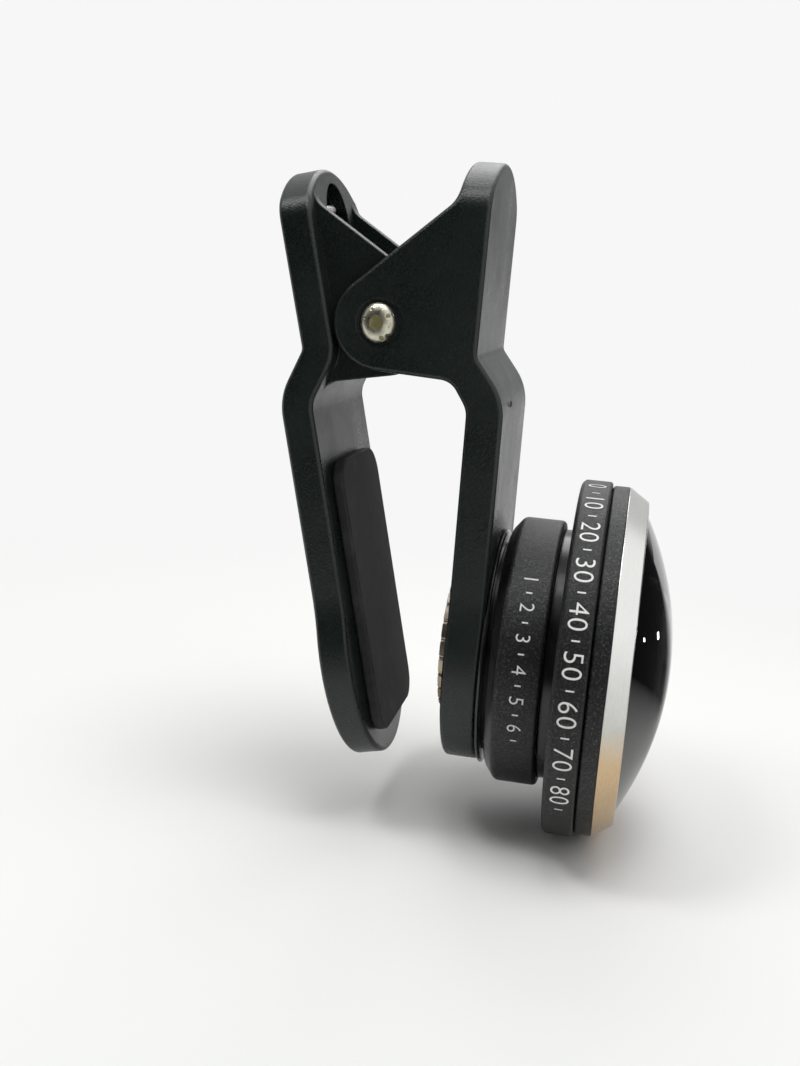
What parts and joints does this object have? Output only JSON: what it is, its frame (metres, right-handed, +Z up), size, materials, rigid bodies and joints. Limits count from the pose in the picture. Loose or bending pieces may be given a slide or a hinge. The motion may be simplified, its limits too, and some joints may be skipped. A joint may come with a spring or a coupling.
{
  "type": "clip-on phone lens",
  "caption": "Sprung clip that holds a screw-on macro lens over a phone's camera, with a wide domed fisheye lens screwed onto the macro lens.",
  "frame": {"origin": "on the optical axis, in the plane of the rear face of the macro unit's retainer, which rests on the back of the phone", "axes": "+X out along the optical axis, away from the phone; +Y across the clip, along the rivet; +Z up the clip arms towards the tongues"},
  "size_m": [0.0431, 0.0374, 0.0684],
  "materials": {
    "arm_plastic": "satin moulded black",
    "pad_rubber": "soft matt black",
    "rivet_metal": "pale nickel plate",
    "spring_wire": "bright wire",
    "collar_gloss": "glossy black",
    "barrel_black": "bead-blasted black anodised aluminium",
    "ring_black": "matt black",
    "retainer_nickel": "turned nickel",
    "trim_bright": "turned and polished",
    "front_glass": "polished and coated",
    "lens_glass": "polished",
    "seal_rubber": "matt black"
  },
  "bodies": {
    "clip": {"lens_arm": "arm_plastic", "pivot_rivet": "rivet_metal", "torsion_spring": "spring_wire", "mount_collar": "collar_gloss"},
    "grip_arm": {"pad_arm": "arm_plastic", "jaw_pad": "pad_rubber"},
    "macro_glass": {"macro_lens": "lens_glass"},
    "macro_unit": {"macro_barrel": "barrel_black", "macro_spacer": "ring_black", "macro_retainer": "retainer_nickel"},
    "fisheye_glass": {"front_lens": "front_glass", "second_lens": "lens_glass", "rear_lens": "lens_glass"},
    "fisheye_unit": {"fisheye_barrel": "barrel_black", "front_barrel": "barrel_black", "trim_ring": "trim_bright", "front_seal": "seal_rubber", "light_baffle": "ring_black", "aperture_stop": "ring_black", "rear_retainer": "ring_black"}
  },
  "joints": [
    {"name": "clip_pivot", "type": "hinge", "parent": "clip", "child": "grip_arm", "pos_m": [-0.0079, 0, 0.0334], "axis": [0, 1, 0], "range_deg": [-7.2, 50], "stiffness_Nm_per_rad": 0.15, "springref_deg": -49.85, "deforming": ["torsion_spring"]},
    {"name": "macro_travel", "type": "slide", "parent": "clip", "child": "macro_glass", "axis": [1, 0, 0], "range_m": [0, 0.00525]},
    {"name": "macro_turn", "type": "hinge", "parent": "macro_glass", "child": "macro_unit", "pos_m": [0, 0, 0], "axis": [1, 0, 0], "range_deg": [0, 2520]},
    {"name": "fisheye_travel", "type": "slide", "parent": "macro_unit", "child": "fisheye_glass", "axis": [1, 0, 0], "range_m": [0, 0.003]},
    {"name": "fisheye_turn", "type": "hinge", "parent": "fisheye_glass", "child": "fisheye_unit", "pos_m": [0, 0, 0], "axis": [1, 0, 0], "range_deg": [0, 1440]}
  ],
  "couplings": [
    {"joint": "macro_turn", "follows": "macro_travel", "rad_per_m": 8377.6},
    {"joint": "fisheye_turn", "follows": "fisheye_travel", "rad_per_m": 8377.6}
  ]
}
